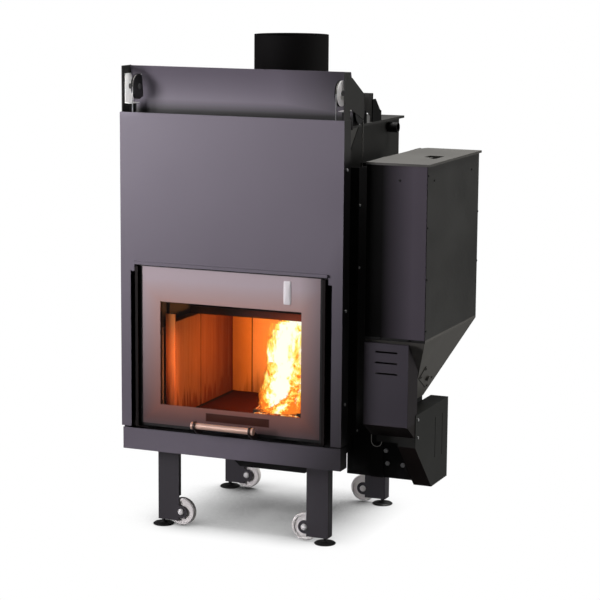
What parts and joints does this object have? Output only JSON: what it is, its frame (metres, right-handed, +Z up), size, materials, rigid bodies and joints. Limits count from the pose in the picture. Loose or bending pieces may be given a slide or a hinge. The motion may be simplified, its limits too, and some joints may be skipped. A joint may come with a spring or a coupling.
{
  "type": "boiler fireplace",
  "caption": "Boiler fireplace with a rising glass door on counterweights, a side pellet hopper, a burner with its feed screw and fan, on legs with transport wheels",
  "frame": {"origin": "middle of the object's outer box at floor level", "axes": "X to the right along the front, Y from the front to the back, Z up"},
  "size_m": [1.053, 0.7825, 1.654],
  "materials": {
    "paint_front": "satin metallic grey paint",
    "paint_black": "matt heat-proof black paint",
    "paint_side": "satin dark grey paint",
    "galvanised": "zinc-plated sheet",
    "pulley_black": "moulded, dull",
    "steel": "bright steel",
    "handle": "brushed, warm-toned",
    "door_glass": "fire-proof glass with a printed dark border",
    "rope": "braided sealing rope",
    "brick": "rough firebrick",
    "pot": "rough cast, burnt",
    "wheel_white": "white nylon",
    "feet": "moulded black",
    "lead": "thin insulated lead"
  },
  "bodies": {
    "boiler": {"facade_panel": "paint_front", "plinth_panel": "paint_front", "front_frame": "paint_black", "head_side_plates": "paint_black", "head_back_panel": "paint_front", "hood_strip": "paint_front", "guide_rails": "paint_front", "pulley_brackets": "galvanised", "axle_bolts": "steel", "cable_front_runs": "steel", "cable_top_runs": "steel", "cable_rear_runs": "steel", "counterweight_channels": "paint_black", "boiler_jacket": "paint_black", "firebox_shell": "paint_black", "exchanger_tubes": "paint_black", "firebox_bricks": "brick", "smoke_baffle": "paint_black", "burner_pot": "pot", "top_plate": "paint_black", "flue_collar": "paint_black", "casing_panels": "paint_side", "water_sockets": "paint_black", "air_box": "paint_black", "legs": "paint_black", "hopper_shell": "paint_side", "hopper_front": "paint_front", "hopper_funnel": "paint_side", "funnel_hatch": "paint_black", "auger_tube": "paint_black", "drive_motors": "paint_black", "louvered_cover": "paint_front", "feeder_tray": "paint_side", "burner_cover": "paint_side", "burner_plate": "paint_black", "burner_console": "paint_black", "sensor_lead": "lead", "screws": "steel"},
    "door": {"door_frame": "paint_black", "door_glass": "door_glass", "door_gasket": "rope", "handle_bar": "handle", "handle_brackets": "handle"},
    "weight_left": {"counterweight_left": "paint_black"},
    "weight_right": {"counterweight_right": "paint_black"},
    "lid": {"hopper_lid": "paint_side"},
    "auger": {"feed_auger": "steel"},
    "fan": {"fan_impeller": "steel"},
    "front_pulley_left": {"front_pulley_left": "pulley_black"},
    "wheel_front_left": {"wheel_front_left": "wheel_white"},
    "foot_front_left": {"foot_front_left": "feet"},
    "front_pulley_right": {"front_pulley_right": "galvanised"},
    "wheel_front_right": {"wheel_front_right": "wheel_white"},
    "foot_front_right": {"foot_front_right": "feet"},
    "rear_pulley_left": {"rear_pulley_left": "pulley_black"},
    "wheel_rear_left": {"wheel_rear_left": "wheel_white"},
    "foot_rear_left": {"foot_rear_left": "feet"},
    "rear_pulley_right": {"rear_pulley_right": "pulley_black"},
    "wheel_rear_right": {"wheel_rear_right": "wheel_white"},
    "foot_rear_right": {"foot_rear_right": "feet"}
  },
  "joints": [
    {"name": "door_lift", "type": "slide", "parent": "boiler", "child": "door", "axis": [0, 0, 1], "range_m": [0, 0.44], "deforming": ["cable_front_runs"]},
    {"name": "weight_left_slide", "type": "slide", "parent": "boiler", "child": "weight_left", "axis": [0, 0, 1], "range_m": [-0.44, 0], "deforming": ["cable_rear_runs"]},
    {"name": "weight_right_slide", "type": "slide", "parent": "boiler", "child": "weight_right", "axis": [0, 0, 1], "range_m": [-0.44, 0]},
    {"name": "front_pulley_left_spin", "type": "hinge", "parent": "boiler", "child": "front_pulley_left", "pos_m": [-0.4868, -0.26625, 1.492], "axis": [1, 0, 0], "range_deg": [-663.92, 0]},
    {"name": "front_pulley_right_spin", "type": "hinge", "parent": "boiler", "child": "front_pulley_right", "pos_m": [0.2298, -0.26625, 1.492], "axis": [1, 0, 0], "range_deg": [-663.92, 0]},
    {"name": "rear_pulley_left_spin", "type": "hinge", "parent": "boiler", "child": "rear_pulley_left", "pos_m": [-0.4868, -0.10475, 1.425], "axis": [1, 0, 0], "range_deg": [-663.92, 0]},
    {"name": "rear_pulley_right_spin", "type": "hinge", "parent": "boiler", "child": "rear_pulley_right", "pos_m": [0.2298, -0.10475, 1.425], "axis": [1, 0, 0], "range_deg": [-663.92, 0]},
    {"name": "wheel_front_left_roll", "type": "hinge", "parent": "boiler", "child": "wheel_front_left", "pos_m": [-0.355, -0.20475, 0.0515], "axis": [0, 1, 0], "continuous": true},
    {"name": "foot_front_left_turn", "type": "hinge", "parent": "boiler", "child": "foot_front_left", "pos_m": [-0.4255, -0.20875, 0.01], "axis": [0, 0, 1], "continuous": true},
    {"name": "wheel_front_right_roll", "type": "hinge", "parent": "boiler", "child": "wheel_front_right", "pos_m": [0.098, -0.20475, 0.0515], "axis": [0, 1, 0], "continuous": true},
    {"name": "foot_front_right_turn", "type": "hinge", "parent": "boiler", "child": "foot_front_right", "pos_m": [0.1685, -0.20875, 0.01], "axis": [0, 0, 1], "continuous": true},
    {"name": "wheel_rear_left_roll", "type": "hinge", "parent": "boiler", "child": "wheel_rear_left", "pos_m": [-0.355, 0.34125, 0.0515], "axis": [0, 1, 0], "continuous": true},
    {"name": "foot_rear_left_turn", "type": "hinge", "parent": "boiler", "child": "foot_rear_left", "pos_m": [-0.4255, 0.33725, 0.01], "axis": [0, 0, 1], "continuous": true},
    {"name": "wheel_rear_right_roll", "type": "hinge", "parent": "boiler", "child": "wheel_rear_right", "pos_m": [0.098, 0.34125, 0.0515], "axis": [0, 1, 0], "continuous": true},
    {"name": "foot_rear_right_turn", "type": "hinge", "parent": "boiler", "child": "foot_rear_right", "pos_m": [0.1685, 0.33725, 0.01], "axis": [0, 0, 1], "continuous": true},
    {"name": "lid_hinge", "type": "hinge", "parent": "boiler", "child": "lid", "pos_m": [0.3095, 0.01175, 1.273], "axis": [0, -1, 0], "range_deg": [0, 95]},
    {"name": "auger_turn", "type": "hinge", "parent": "boiler", "child": "auger", "pos_m": [0.4115, 0.00525, 0.32], "axis": [1, 0, 0], "continuous": true},
    {"name": "fan_turn", "type": "hinge", "parent": "boiler", "child": "fan", "pos_m": [0.4235, 0.08425, 0.24], "axis": [1, 0, 0], "continuous": true}
  ],
  "couplings": [
    {"joint": "weight_left_slide", "follows": "door_lift", "ratio": -1},
    {"joint": "weight_right_slide", "follows": "door_lift", "ratio": -1},
    {"joint": "front_pulley_left_spin", "follows": "door_lift", "rad_per_m": -26.316},
    {"joint": "front_pulley_right_spin", "follows": "door_lift", "rad_per_m": -26.316},
    {"joint": "rear_pulley_left_spin", "follows": "door_lift", "rad_per_m": -26.316},
    {"joint": "rear_pulley_right_spin", "follows": "door_lift", "rad_per_m": -26.316}
  ]
}
